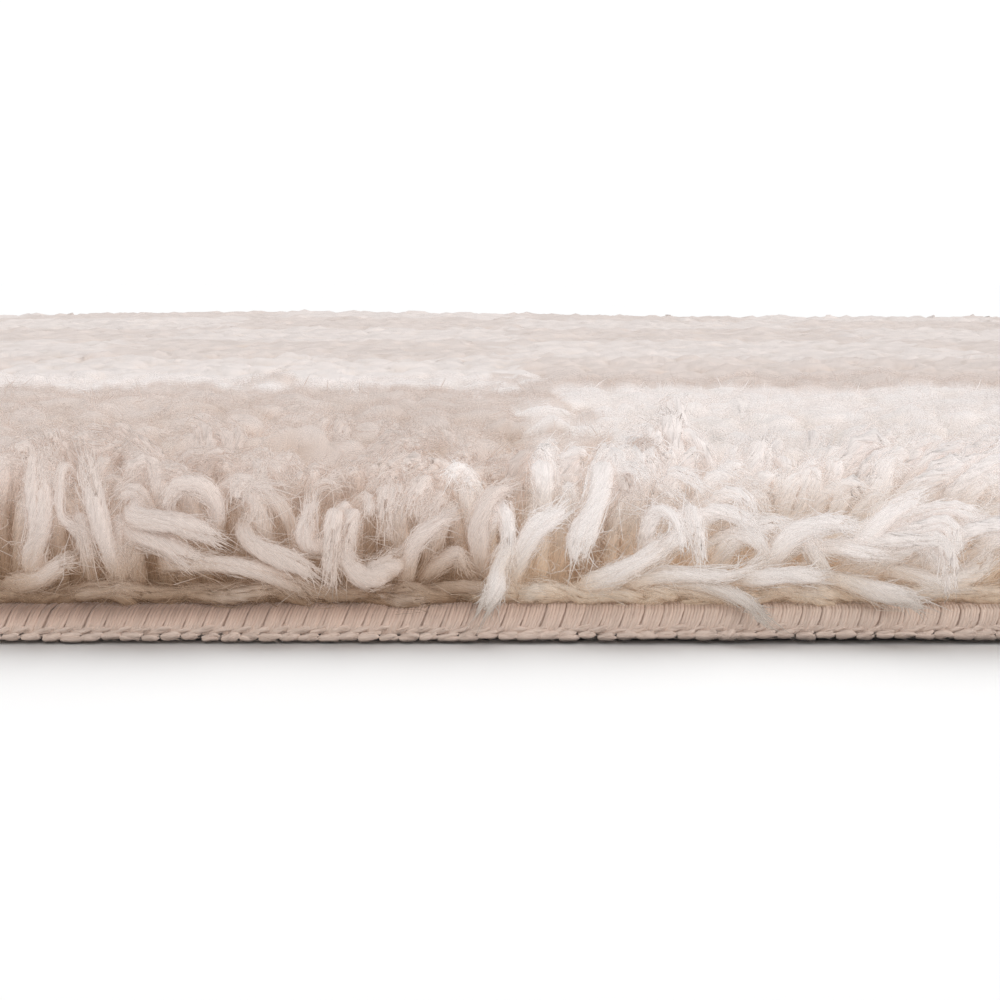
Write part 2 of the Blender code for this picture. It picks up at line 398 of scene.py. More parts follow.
def through(points, rings):
    """A smooth curve through a few points, as (1, rings, 3)."""
    points = np.asarray(points, float)
    padded = np.vstack([2 * points[0] - points[1], points, 2 * points[-1] - points[-2]])
    place = np.linspace(0, len(points) - 1, rings)
    first = np.minimum(place.astype(int), len(points) - 2)
    t = (place - first)[:, None]
    a, b, c, d = (padded[first + step] for step in range(4))
    curve = 2 * b + (c - a) * t + (2 * a - 5 * b + 4 * c - d) * t**2 + (3 * b - a - 3 * c + d) * t**3
    return curve[None] / 2


def carried_frames(paths):
    """Along each path: unit tangents and two unit normals, carried on without spinning."""
    tangents = unit(np.gradient(paths, axis=1))
    helper = np.where(np.abs(tangents[:, 0, :1]) < 0.8, (1.0, 0, 0), (0, 1.0, 0))
    normal = unit(np.cross(tangents[:, 0], helper))
    normals = np.empty_like(paths)
    for ring in range(paths.shape[1]):
        tangent = tangents[:, ring]
        normal = unit(normal - np.sum(normal * tangent, axis=-1, keepdims=True) * tangent)
        normals[:, ring] = normal
    return tangents, normals, np.cross(tangents, normals)


def dome(places, centres):
    """The way that a rounded tuft about its centre faces at these places."""
    hearts = np.concatenate([centres, np.full((*centres.shape[:-1], 1), TUFT_HEART)], axis=-1)
    return unit(places - hearts)


def painted_openness(places):
    """How open to the light, for the yarn's painted shade: 0 deep in the pile, 1 at its top or well out
    of its side.
    """
    height = ramp(places[..., 2], DEEP, OPEN)
    out = np.max(np.abs(places[..., :2]), axis=-1) - INNER
    clear = ramp(out, CLEAR_FROM, CLEAR_FULL)
    counts = np.clip(SIDE_LEAST + SIDE_BY_HEIGHT * height + SIDE_BY_CLEAR * clear, 0, 1)
    side = smooth(ramp(out, SIDE_FROM, SIDE_FULL)) * counts
    return 1 - (1 - smooth(height)) * (1 - SIDE_OPEN * side)


def tubes(paths, radii, sides, tone, luck, twist=0.0, lobes=0.0, blunt=0.5, pointed=False,
          tuft=None, soft=0.0):
    """Closed tubes along the paths, as a dictionary of arrays that mesh_of joins.

    paths is (count, points, 3) and radii (count, points). tone is 0 for beige and 1 for cream, and luck
    a random share for each tube. twist is in turns per metre, lobes is how far the section is from
    round, and blunt how far the tip stands out, as a share of its radius. A pointed tube ends in a
    point at its path's last place. soft is how far it is shaded as a part of its whole tuft, whose
    centre is tuft.
    """
    count, points, _ = paths.shape
    tangents, normals, binormals = carried_frames(paths)
    steps = np.linalg.norm(np.diff(paths, axis=1), axis=-1)
    run = np.concatenate([np.zeros((count, 1)), np.cumsum(steps, axis=1)], axis=1)

    rings = points - 1 if pointed else points
    corner = 2 * np.pi * np.arange(sides) / sides
    section = 1 + lobes * np.cos(2 * corner) + 0.6 * lobes * np.cos(5 * corner + 1)
    angle = corner + 2 * np.pi * (twist * run[:, :rings] + luck[:, None])[..., None]
    across = np.cos(angle)[..., None] * normals[:, :rings, None]
    across = across + np.sin(angle)[..., None] * binormals[:, :rings, None]
    skin = paths[:, :rings, None] + (radii[:, :rings, None] * section)[..., None] * across
    tips = paths[:, -1] if pointed else paths[:, -1] + tangents[:, -1] * radii[:, -1:] * blunt

    grain = np.empty((count, rings, sides, 3))
    grain[..., 0] = np.cos(corner) * radii[:, :rings, None]
    grain[..., 1] = np.sin(corner) * radii[:, :rings, None]
    grain[..., 2] = run[:, :rings, None]
    start = luck[:, None] * np.array((1.7, 2.9, 4.1))
    tip_grain = np.stack([0 * luck, 0 * luck, run[:, -1]], axis=-1) + start

    shade, tip_shade = across, tangents[:, -1]
    if soft:
        centres = np.broadcast_to(tuft[:, None, None], (*skin.shape[:3], 2))
        shade = unit(shade * (1 - soft) + soft * dome(skin, centres))
        tip_shade = unit(tip_shade * (1 - soft) + soft * dome(tips, tuft))

    def marks(places, each):
        # Each point's marks: its tone, how open to the light it is for its painted shade, and its luck
        kinds = (tone[each], painted_openness(places), luck[each])
        return np.stack([np.broadcast_to(kind, places.shape[:-1]) for kind in kinds], axis=-1)

    def packed(rounds, tip):
        return np.concatenate([rounds.reshape(count, -1, 3), tip[:, None]], axis=1).reshape(-1, 3)

    here = np.arange(sides)
    after = (here + 1) % sides
    low = (np.arange(rings - 1) * sides)[:, None]
    quads = np.stack([low + here, low + after, low + sides + after, low + sides + here], axis=-1)
    last = (rings - 1) * sides
    fan = np.stack([last + here, last + after, np.full(sides, rings * sides)], axis=-1)
    offset = (np.arange(count) * (rings * sides + 1))[:, None, None]
    return {
        "verts": packed(skin, tips),
        "yarn": packed(marks(skin, np.s_[:, None, None]), marks(tips, np.s_[:])),
        "grain": packed(grain + start[:, None, None], tip_grain),
        "facing": packed(shade, tip_shade),
        "faces": [(quads.reshape(-1, 4)[None] + offset).reshape(-1, 4),
                  (fan[None] + offset).reshape(-1, 3), here[::-1][None] + offset[:, 0]],
        "along": {"paths": paths, "radii": radii, "tone": tone, "luck": luck,
                  "run": run, "tangents": tangents, "normals": normals, "binormals": binormals},
        "tuft": tuft,
        "soft": soft,
    }


def strays(core, kind, each, chance):
    """So many locks or fibres on each of a set of tubes, as a row of STRAYS says."""
    along = core["along"]
    count, core_rings = along["radii"].shape
    strand = np.repeat(np.arange(count), each)
    number = len(strand)
    whole = along["run"][strand, -1]
    begin = chance.uniform(*kind["from"], number)
    reach = kind["length"] * MM * chance.uniform(0.6, 1.4, number)
    t = np.linspace(0, 1, kind["points"])
    share = begin[:, None] + (reach / whole)[:, None] * t
    on_strand = np.clip(share, 0, 1)
    beyond = ((share - on_strand) * whole[:, None])[..., None]
    place = on_strand * (core_rings - 1)
    low = np.minimum(place.astype(int), core_rings - 2)
    part = place - low

    def at(name):
        first, second = along[name][strand[:, None], low], along[name][strand[:, None], low + 1]
        weight = part if first.ndim == 2 else part[..., None]
        return first * (1 - weight) + second * weight

    turn = chance.uniform(0, 2 * np.pi, number)[:, None]
    turn = turn + chance.normal(0, kind["wrap"], number)[:, None] * t
    out = at("normals") * np.cos(turn)[..., None] + at("binormals") * np.sin(turn)[..., None]
    near, far = kind["depth"]
    depth = np.sqrt(chance.uniform(near * near, far * far, number))[:, None] * at("radii")
    lift = np.abs(chance.normal(0, kind["lift"] * MM, number))[:, None] * t**1.4
    curl = chance.normal(0, kind["curl"] * MM, (number, len(t), 3)) * np.minimum(2 * t, 1)[:, None]
    paths = at("paths") + at("tangents") * beyond + out * (depth + lift)[..., None] + curl
    radii = kind["thick"] / 2 * MM * chance.uniform(0.7, 1.3, number)[:, None] * np.ones(len(t))
    return tubes(paths, radii, 3, along["tone"][strand], chance.uniform(0, 1, number), pointed=True)


def all_strays(core, numbers, chance):
    return [strays(core, STRAYS[name], each, chance) for name, each in numbers.items()]


def wavy(paths, chance, amount):
    """Gives each path its own slow wave, which dies away towards the root."""
    count, rings, _ = paths.shape
    t = np.linspace(0, 1, rings)[None, :, None]
    start = chance.uniform(0, 2 * np.pi, (count, 1, 3))
    turns = chance.uniform(0.7, 1.6, (count, 1, 3))
    return paths + amount * np.sin(2 * np.pi * turns * t + start) * t


def plied(core, number, sides, chance):
    """Finer strands that wind round each strand of a set of tubes and part at its tip."""
    along = core["along"]
    count, rings = along["radii"].shape
    strand = np.repeat(np.arange(count), number)
    t = np.linspace(0, 1, rings)
    start = 2 * np.pi * (np.tile(np.arange(number), count) / number + along["luck"][strand])
    start = start + chance.normal(0, PLY_UNEVEN, len(strand))
    turn = start[:, None] + 2 * np.pi * chance.normal(0, PLY_TURNS, count)[strand, None] * t
    away = (along["radii"][strand] * (PLY_AWAY + PLY_PARTS * t**3))[..., None]
    paths = along["paths"][strand] + away * np.cos(turn)[..., None] * along["normals"][strand]
    paths = paths + away * np.sin(turn)[..., None] * along["binormals"][strand]
    paths = wavy(paths, chance, PLY_WAVE)
    radii = along["radii"][strand] * PLY_SIZE[number] * chance.uniform(0.8, 1.15, (len(strand), 1))

    # A ply ends a little before its strand does
    place = t * chance.uniform(0.80, 1.0, (len(strand), 1)) * (rings - 1)
    low = np.minimum(place.astype(int), rings - 2)
    part = (place - low)[..., None]
    which = np.arange(len(strand))[:, None]
    paths, hearts = (line[which, low] * (1 - part) + line[which, low + 1] * part
                     for line in (paths, along["paths"][strand]))
    tuft = core["tuft"][strand] if core["soft"] else None
    made = tubes(paths, radii, sides, along["tone"][strand], chance.uniform(0, 1, len(strand)),
                 twist=PLY_TWIST, blunt=1.2, tuft=tuft, soft=core["soft"])
    hearts = np.concatenate([np.repeat(hearts, sides, axis=1), hearts[:, -1:]], axis=1).reshape(-1, 3)
    made["facing"] = unit(made["facing"] + PLY_SOFT * unit(made["verts"] - hearts))
    return made


def halo(core, wider, chance):
    """A wider tube round each strand, for the halo of fine fibres that its material draws."""
    along = core["along"]
    count, rings = along["radii"].shape
    radii = along["radii"] * wider * (1 + chance.normal(0, 0.06, (count, rings)))
    sides = 9 if rings > 8 else 7
    return tubes(along["paths"], radii, sides, along["tone"], np.full(count, wider - 1),
                 twist=TWIST, lobes=0.08, blunt=1.2)


def mesh_of(name, sets, material, node="pile"):
    """Joins sets of tubes into one mesh piece that stands for a node of the frame."""
    verts = np.concatenate([one["verts"] for one in sets])
    verts[:, 2] = np.maximum(verts[:, 2], 0.05 * MM)
    corners, totals = [], []
    base = 0
    for one in sets:
        for faces in one["faces"]:
            corners.append((faces + base).ravel())
            totals.append(np.full(len(faces), faces.shape[1]))
        base += len(one["verts"])
    corners, totals = np.concatenate(corners), np.concatenate(totals)
    starts = np.concatenate([[0], np.cumsum(totals)[:-1]])
    mesh = bpy.data.meshes.new(name)
    mesh.vertices.add(len(verts))
    mesh.vertices.foreach_set("co", verts.astype(np.float32).ravel())
    mesh.loops.add(len(corners))
    mesh.loops.foreach_set("vertex_index", corners.astype(np.int32))
    mesh.polygons.add(len(totals))
    mesh.polygons.foreach_set("loop_start", starts.astype(np.int32))
    for mark in ("yarn", "grain"):
        values = np.concatenate([one[mark] for one in sets]).astype(np.float32)
        mesh.attributes.new(mark, "FLOAT_VECTOR", "POINT").data.foreach_set("vector", values.ravel())
    mesh.update(calc_edges=True)
    mesh.shade_smooth()
    if all("facing" in one for one in sets):
        mesh.normals_split_custom_set_from_vertices(np.concatenate([one["facing"] for one in sets]))
    mesh.materials.append(material)
    piece = bpy.data.objects.new(name, mesh)
    bpy.context.scene.collection.objects.link(piece)
    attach(piece, BODY)
    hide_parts(node)
    return piece


def airy(name, sets, material):
    """A piece of the pile so thin that light passes it: it casts no shadow and passes none on."""
    piece = mesh_of(name, sets, material)
    piece.visible_shadow = False
    piece.visible_diffuse = False
    return piece


# ---- Pattern and lie of the pile ----


def smooth_field(size, seed):
    """A smooth random surface over the rug, from about -1 to 1, with features of that size."""
    chance = np.random.default_rng(seed)
    headings = chance.uniform(0, 2 * np.pi, 9)
    waves = size * chance.uniform(1.4, 3.2, 9)
    starts = chance.uniform(0, 2 * np.pi, 9)

    def field(x, y):
        total = 0
        for heading, wave, start in zip(headings, waves, starts):
            along = x * math.cos(heading) + y * math.sin(heading)
            total = total + np.sin(along * 2 * np.pi / wave + start)
        return total / 3

    return field


LEAN_X = smooth_field(0.022, 11)
LEAN_Y = smooth_field(0.022, 12)
LUMPS = smooth_field(0.016, 13)
RIPPLES = smooth_field(0.003, 16)
STRAY_X = smooth_field(0.012, 14)
STRAY_Y = smooth_field(0.012, 15)


def cream_share(x, y):
    """1 where the checkerboard is cream and 0 where it is beige, with a soft border between them."""
    end = HALF - SQUARE_BORDER
    strayed_x = np.clip(x + SQUARE_STRAY * STRAY_X(x, y), -end, end)
    strayed_y = np.clip(y + SQUARE_STRAY * STRAY_Y(x, y), -end, end)
    across = np.sin(np.pi * (strayed_x + HALF) / SQUARE)
    along = np.sin(np.pi * (strayed_y + HALF) / SQUARE)
    sharp = SQUARE / (np.pi * SQUARE_BORDER)
    return 0.5 - 0.5 * np.clip(across * sharp, -1, 1) * np.clip(along * sharp, -1, 1)


def front_tone(x):
    """The tone of single strands on the near edge, with hard borders."""
    return np.round(cream_share(x, np.full(len(x), FRONT_TONE_Y)))


def swell(x, y):
    away2 = ((x - SWELL_PLACE[0]) ** 2 + (y - SWELL_PLACE[1]) ** 2) / SWELL_REACH**2
    return SWELL_HEIGHT * np.exp(-away2)


def within(zone, x, y):
    """Where these places are in the zone."""
    there = (x > zone["x"][0]) & (x < zone["x"][1]) & (y > zone["y"][0]) & (y < zone["y"][1])
    return there & (inside(x, y) < zone.get("rim", HALF))


def roots(zone, finer, chance):
    """Strand roots: a staggered grid over the zone, shaken, less what lies in a finer zone."""
    gap = zone["spacing"] * MM
    xs = np.arange(zone["x"][0] + gap / 2, zone["x"][1], gap)
    ys = np.arange(zone["y"][0] + gap / 3, zone["y"][1], gap * 0.87)
    x, y = np.meshgrid(xs, ys)
    x[1::2] += gap / 2
    x = x.ravel() + chance.uniform(-0.35, 0.35, x.size) * gap
    y = y.ravel() + chance.uniform(-0.35, 0.35, y.size) * gap
    keep = (inside(x, y) > 0.4 * MM) & (inside(x, y) < zone.get("rim", HALF))
    for other in finer:
        keep &= ~within(other, x, y)
    return x[keep], y[keep]


def clump_finder(size, seed):
    """Clumps on a shaken grid: a function that gives each strand its clump's centre and random traits."""
    chance = np.random.default_rng(seed)
    cells = int(2 * HALF / size) + 4
    shake = chance.uniform(-0.33, 0.33, (cells, cells, 2))
    traits = chance.normal(0, 1, (cells, cells, 4))

    def nearest(x, y):
        column = np.floor((x + HALF) / size).astype(int) + 1
        row = np.floor((y + HALF) / size).astype(int) + 1
        best = np.full(len(x), np.inf)
        centre = np.zeros((len(x), 2))
        trait = np.zeros((len(x), 4))
        for i in (-1, 0, 1):
            for j in (-1, 0, 1):
                a = np.clip(column + i, 0, cells - 1)
                b = np.clip(row + j, 0, cells - 1)
                middle = (np.stack([a, b], axis=-1) - 0.5 + shake[a, b]) * size - HALF
                away = np.hypot(middle[:, 0] - x, middle[:, 1] - y)
                near = away < best
                best[near] = away[near]
                centre[near] = middle[near]
                trait[near] = traits[a, b][near]
        return centre, trait, best / size

    return nearest


CLUMPS = clump_finder(CLUMP, 31)
LOCKS = clump_finder(LOCK, 32)


def lock_tone(x, y):
    """The tone of the lock that is nearest: near a square's border, locks of both tones stand mixed."""
    centre, lock, _ = LOCKS(x, y)
    doubt = 0.5 + BORDER_MIXED * np.clip(lock[:, 3], -1.8, 1.8)
    tone = (cream_share(centre[:, 0], centre[:, 1]) > doubt).astype(float)
    faint = FAINT_SHARE * smooth(ramp(y, FAINT_FROM, FAINT_FULL))
    return tone + faint * (FAINT_TONE - tone)


def strand_corners(x, y, droops, chance):
    """The four corners of each strand's curve, from its root to its tip."""
    count = len(x)
    side_x = (np.abs(x) > np.abs(y)) * np.sign(x)
    side_y = (np.abs(x) <= np.abs(y)) * np.sign(y)
    rim = ramp(inside(x, y), RIM, 0)
    brushed = smooth(ramp(x, BRUSHED_FROM, BRUSHED_FULL)) * ramp(y + INNER, BRUSHED_DEEP, 0)
    centre, trait, off_centre = CLUMPS(x, y)

    def mixed(name, field, trait):
        row = SHARES[name]
        own = chance.normal(0, row["chance"], count)
        return (row["field"] * field + row["clump"] * trait + own) * MM

    to_x, to_y = (centre[:, 0] - x) * CLUMP_PULL, (centre[:, 1] - y) * CLUMP_PULL
    lean_x = mixed("lean", LEAN_X(x, y), trait[:, 0]) + brushed * BRUSH
    lean_y = mixed("lean", LEAN_Y(x, y), trait[:, 1])
    spill = np.clip(rim * mixed("spill", 1, trait[:, 3]), SPILL_LEAST, SPILL_MOST)
    lean_x = (lean_x + to_x) * (1 - RIM_LEAN * rim * np.abs(side_x)) + side_x * spill
    lean_y = (lean_y + to_y) * (1 - RIM_LEAN * rim * np.abs(side_y)) + side_y * spill
    bend_x, bend_y = chance.normal(0, 1, (2, count)) * BEND * (1 - rim)

    even = 0.6 + 0.4 * droops
    uneven = even * mixed("height", LUMPS(x, y), trait[:, 2])
    crown = CROWN + uneven - CLUMP_ROUND * off_centre**2 + swell(x, y)
    hanging = (chance.uniform(0, 1, count) < HANGING * rim) * rim * droops
    crown = crown - RIM_LOWER * rim - BRUSHED_LOWER * brushed * rim
    fall = hanging * chance.uniform(*HANG, count) * (crown - HANG_TO)
    droop = chance.uniform(*DROOP, count) * droops * MM + fall
    tip = np.maximum(crown - droop, LOWEST_TIP)
    sway = chance.normal(0, 1, count) * SWAY
    over = 0.55 + 0.45 * hanging
    top = crown * (0.90 + 0.20 * droops + 0.12 * hanging)

    places = (
        (x, y, np.full(count, CLOTH_TOP)),
        (x - lean_x * 0.1 + bend_x + sway, y - lean_y * 0.1 + bend_y, crown * 0.62),
        (x + lean_x * over - bend_x, y + lean_y * over - bend_y, top),
        (x + lean_x, y + lean_y, tip),
    )
    return np.stack([np.stack(place, axis=-1) for place in places], axis=1)


def strand_radii(count, rings, thick, chance):
    """Thin at the root and full along the strand and at its brushed tip."""
    t = np.linspace(0, 1, rings)
    outline = np.interp(t, (0, 0.2, 0.6, 0.85, 1.0), (0.75, 0.95, 1.0, 0.92, 0.55))
    size = thick / 2 * chance.uniform(0.78, 1.18, count)[:, None]
    waves = chance.uniform(1.0, 2.2, (count, 1)) * t + chance.uniform(0, 1, (count, 1))
    swelling = 0.13 * np.sin(2 * np.pi * waves)
    return size * outline * (1 + swelling + chance.normal(0, 0.05, (count, rings)))


def halo_piece(name, cores, layers, material, chance):
    """The halos of some strands, in layers, each so many times as wide as its strand."""
    return airy(name, [halo(core, wider, chance) for core in cores for wider in layers], material)


def pile_zone(zone, finer, material, halo_material):
    """The strands of a zone, with their fibres and halos."""
    chance = np.random.default_rng(zone["seed"])
    name, droop, rings = zone["name"], zone["droop"], zone["rings"]
    x, y = roots(zone, finer, chance)
    paths = bezier(strand_corners(x, y, droop, chance), rings, zone["start"])
    paths = wavy(paths, chance, 0.9 * MM * droop)
    paths[..., 2] *= zone.get("tall", 1.0)
    radii = strand_radii(len(x), rings, zone["thick"] * MM, chance)
    core = tubes(paths, radii, CORE_SIDES, lock_tone(x, y), chance.uniform(0, 1, len(x)),
                 twist=TWIST, blunt=1.0, tuft=CLUMPS(x, y)[0], soft=zone["soft"])
    if not zone["plies"]:
        return [mesh_of(name, [core], material)]
    return [
        mesh_of(name, [plied(core, zone["plies"], PLY_SIDES, chance)], material),
        airy(name + "_fibres", all_strays(core, zone["strays"], chance), material),
        halo_piece(name + "_halo", [core], zone["halo"], halo_material, chance),
    ]


def foot_strands():
    """Rows as those of LAID, at random along the foot of the near edge's pile."""
    chance = np.random.default_rng(43)
    rows = []
    for place in np.linspace(*FOOT["x"], FOOT["count"]):
        length = chance.uniform(*FOOT["length"]) * chance.choice((-1, 1))
        x = place + length * np.linspace(-0.5, 0.5, FOOT["points"])
        z, out = (chance.uniform(*FOOT[name], FOOT["points"]) for name in ("z", "out"))
        rows.append({"x": x, "z": z, "out": out, "thick": chance.uniform(*FOOT["thick"])})
    return rows


def laid_strands(material, halo_material):
    """The strands that lie over the near edge."""
    chance = np.random.default_rng(40)
    cores, fibres, plies = [], [], []
    for row, look in [(row, LAID_LOOK) for row in LAID] + [(row, FOOT_LOOK) for row in foot_strands()]:
        x, out, z = (np.array(row[name]) * MM for name in ("x", "out", "z"))
        points = np.stack([x, -INNER - out, z], axis=-1)
        tail = points[0] + np.array((0, 8 * MM, -3 * MM))
        path = wavy(through(np.vstack([tail, points]), look["rings"]), chance, 0.8 * MM)
        radii = strand_radii(1, look["rings"], LAID_SLIM * row["thick"] * MM, chance)
        core = tubes(path, radii, CORE_SIDES, front_tone(points[:1, 0]), chance.uniform(0, 1, 1))
        cores.append(core)
        fibres += all_strays(core, look["strays"], chance)
        plies.append(plied(core, look["plies"], look["ply_sides"], chance))
    return [
        mesh_of("pile_laid", plies, material),
        airy("pile_laid_fibres", fibres, material),
        halo_piece("pile_laid_halo", cores, LAID_HALO, halo_material, chance),
    ]


def loose_fluff(material):
    """Single fibres that lie every way between the strands of the near edge."""
    chance = np.random.default_rng(41)
    count = FLUFF["count"]
    x = chance.uniform(*FLUFF["x"], count)
    y = -INNER + chance.uniform(*FLUFF["deep"], count) * MM
    z = chance.uniform(*FLUFF["height"], count) * MM
    heading = chance.uniform(0, 2 * np.pi, count)
    climb = chance.normal(0, 0.5, count)
    ahead = unit(np.stack([np.cos(heading), 0.5 * np.sin(heading), climb], axis=-1))
    t = np.linspace(-0.5, 0.5, 4)
    length = chance.uniform(*FLUFF["length"], count)[:, None, None] * MM
    bow = chance.normal(0, FLUFF["bow"], (count, 1, 3)) * MM * (1 - 4 * t**2)[:, None]
    paths = np.stack([x, y, z], axis=-1)[:, None] + ahead[:, None] * t[:, None] * length + bow
    paths[..., 2] = np.maximum(paths[..., 2], EDGE_TOP + 0.1 * MM)
    radii = FLUFF["thick"] / 2 * MM * np.ones((count, 4))
    one = tubes(paths, radii, 3, front_tone(x), chance.uniform(0, 1, count), pointed=True)
    return airy("pile_fluff", [one], material)


def bed_form(x, y):
    """The height of the bed at these places, and how deep they lie between its tufts, for the painted
    shade there.
    """
    seen = smooth(ramp(np.abs(x - SEEN_MIDDLE), SEEN_OVER, SEEN_HALF))
    open_side = 1 - (y < FRONT_PART) * seen
    inset = BED_INSET + open_side * (BED_INSET_OPEN - BED_INSET)
    width = BED_ROUND + open_side * (BED_ROUND_OPEN - BED_ROUND)
    rise = np.clip((inside(x, y) - inset) / width, 0, 1)
    shoulder = smooth(rise) * (1 - open_side) + np.sqrt(1 - (1 - rise) ** 2) * open_side
    far = np.maximum(smooth(ramp(y, BED_FROM, BED_FULL)), open_side)
    _, trait, off_centre = CLUMPS(x, y)
    _, lock, off_lock = LOCKS(x, y)
    relief = far * (RELIEF + RELIEF_NEAR * ramp(y, RELIEF_FROM, RELIEF_FULL))
    lumps = 0.5 * trait[:, 2] - 3.4 * off_centre**2 + 0.4 * lock[:, 0] - 2.4 * off_lock**2
    top = BED_LOW + (BED_HIGH - BED_LOW) * far + swell(x, y)
    top = top + (0.6 * LUMPS(x, y) + relief * lumps + 0.32 * relief * RIPPLES(x, y)) * MM
    return CLOTH_TOP + 0.5 * MM + shoulder * (top - CLOTH_TOP), relief * (off_centre**2 + off_lock**2)


def square_grid(row):
    """A grid over the whole rug, with finer cells along its rim."""
    rim = np.linspace(row["reach"] - row["rim"], row["reach"], row["rim_cells"] + 1)
    middle = np.linspace(-rim[0], rim[0], row["cells"] + 1)
    axis = np.concatenate([-rim[:0:-1], middle, rim[1:]])
    return np.meshgrid(axis, axis)


def fan_grid(row):
    across, deep = row["cells"]
    share, side = np.linspace(0, 1, deep + 1)[:, None], np.linspace(-1, 1, across + 1)
    away = row["near"] * (row["far"] / row["near"]) ** share
    return CAMERA_PLACE[0] + side * row["across"] * away, CAMERA_PLACE[1] + away + 0 * side


def in_fan(row, x, y, margin):
    """Where these places are in a fan, at least so far from its sides."""
    away = y - CAMERA_PLACE[1]
    aside = np.abs(x - CAMERA_PLACE[0]) < row["across"] * away - margin
    return aside & (away > row["near"]) & (away < row["far"] - margin)


def tuft_sheet(grid, lift=0.0, luck=0.5, sunk=False):
    """A sheet over the bed's form, raised by lift and streaked along the lie of its locks."""
    deep, wide = grid[0].shape
    x, y = (axis.ravel() for axis in grid)
    z, tuft_hollow = bed_form(x, y)
    step = 0.8 * MM
    slope_x = (bed_form(x + step, y)[0] - bed_form(x - step, y)[0]) / (2 * step)
    slope_y = (bed_form(x, y + step)[0] - bed_form(x, y - step)[0]) / (2 * step)
    facing = unit(np.stack([-slope_x, -slope_y, np.ones_like(slope_x)], axis=-1))
    if sunk:
        z = z - BED_SINK * in_fan(BED_FAN, x, y, 5 * MM) * ramp(z, 5 * MM, 10 * MM)
    verts = np.stack([x, y, z], axis=-1) + lift * facing
    start = (np.arange(deep - 1)[:, None] * wide + np.arange(wide - 1)[None]).ravel()
    quads = np.stack([start, start + 1, start + wide + 1, start + wide], axis=-1)
    # Painted shade: darker deep in the pile and between the tufts
    lit = painted_openness(verts) - TUFT_HOLLOW_SHADE * tuft_hollow
    yarn = np.stack([lock_tone(x, y), lit, np.full(len(x), luck)], axis=-1)
    heading = 0.9 * LOCKS(x, y)[1][:, 2]
    grain = np.stack([x * np.cos(heading) - y * np.sin(heading), z,
                      x * np.sin(heading) + y * np.cos(heading)], axis=-1)
    return [{"verts": verts, "yarn": yarn, "grain": grain, "facing": facing, "faces": [quads]}]


def bed(material, halo_material):
    """What lies between the strands: the dim bottom of the pile near the front edge, and elsewhere the
    soft mass of tufts that the strands' tips stand out of. Near the camera it has a nap in layers."""
    grid = fan_grid(FUR_FAN)
    return [
        mesh_of(BED["name"], tuft_sheet(square_grid(BED), sunk=True), material),
        mesh_of(BED_FAN["name"], tuft_sheet(fan_grid(BED_FAN)), material),
        *(airy(row["name"], tuft_sheet(grid, row["lift"], row["thin"]), halo_material)
          for row in FUR_LAYERS),
    ]


def mist(material):
    """The fuzz of the bed's tufts."""
    chance = np.random.default_rng(42)
    count = MIST["count"]
    share = chance.uniform(0, 1, count)
    away = 1 / (1 / MIST["near"] + share * (1 / MIST["far"] - 1 / MIST["near"]))
    x = CAMERA_PLACE[0] + chance.uniform(-1, 1, count) * MIST["across"] * away
    y = CAMERA_PLACE[1] + away
    z = bed_form(x, y)[0] - MIST["deep"] * MM
    heading = 0.8 * LOCKS(x, y)[1][:, 2:4] + chance.normal(0, 0.5, (count, 2))
    rise = np.abs(chance.normal(MIST["rise"], 0.3, count))
    ahead = unit(np.concatenate([heading, rise[:, None]], axis=-1))
    t = np.linspace(0, 1, 3)[None, :, None]
    length = chance.uniform(*MIST["length"], (count, 1, 1)) * MM
    curl = chance.normal(0, MIST["curl"], (count, 3, 3)) * MM * t
    paths = np.stack([x, y, z], axis=-1)[:, None] + ahead[:, None] * t * length + curl
    size = MIST["thick"] / 2 * MM * away / MIST["near"]
    radii = size[:, None] * chance.uniform(0.7, 1.4, (count, 1)) * np.ones(3)
    one = tubes(paths, radii, 3, lock_tone(x, y), chance.uniform(0, 1, count), pointed=True)
    return airy("pile_mist", [one], material)


# ---- Overlocked edge ----


def turned(points, quarter):
    """Points of the front edge, turned to another side of the rug."""
    angle = quarter * math.pi / 2
    x, y = points[..., 0], points[..., 1]
    return np.stack([x * math.cos(angle) - y * math.sin(angle),
                     x * math.sin(angle) + y * math.cos(angle), points[..., 2]], axis=-1)


def as_paths(x, y, z):
    return np.stack([x, np.broadcast_to(y, x.shape), np.broadcast_to(z, x.shape)], axis=-1)


def wrap_paths(centres, spread, rings, chance):
    """Wrapping threads that stand at these places along the edge, pinched together at their foot."""
    line = np.array([WRAP_LINE[name] for name in ("along", "in", "up")]).T * MM
    line = through(line, rings)[0]
    count = len(centres)
    pinch = np.interp(np.linspace(0, 1, rings), PINCH["place"], PINCH["share"])
    x = centres[:, None] + spread[:, None] * pinch + line[:, 0]
    x = x + chance.normal(0, 1, count)[:, None] * STRAY_THREAD
    y = -HALF + line[:, 1] + chance.normal(0, 1, (count, 1)) * STRAY_THREAD
    z = line[:, 2] + chance.normal(0, 1, (count, 1)) * STRAY_THREAD
    return as_paths(x, y, z)


def knots(centres, row, rings, chance):
    """Short fat loops along the foot of the edge, as a row of LOOPS says: their paths and radii."""
    t = np.linspace(-1, 1, rings)
    each = (len(centres), 1)
    x = centres[:, None] + t * row["length"] / 2 * MM * chance.uniform(0.85, 1.15, each)
    y = -HALF + row["in"] * MM - 0.14 * MM * (1 - t * t) + chance.normal(0, 0.05, each) * MM
    z = row["up"] * MM + t * row["tilt"] * MM + chance.normal(0, 0.09, each) * MM
    z = z + row["lift"] * MM * smooth(ramp(x, LIFT_FROM, LIFT_FULL))
    radii = row["thick"] / 2 * MM * np.sqrt(1 - 0.55 * t**4) * chance.uniform(0.80, 1.12, each)
    return as_paths(x, y, z), np.broadcast_to(radii, x.shape)


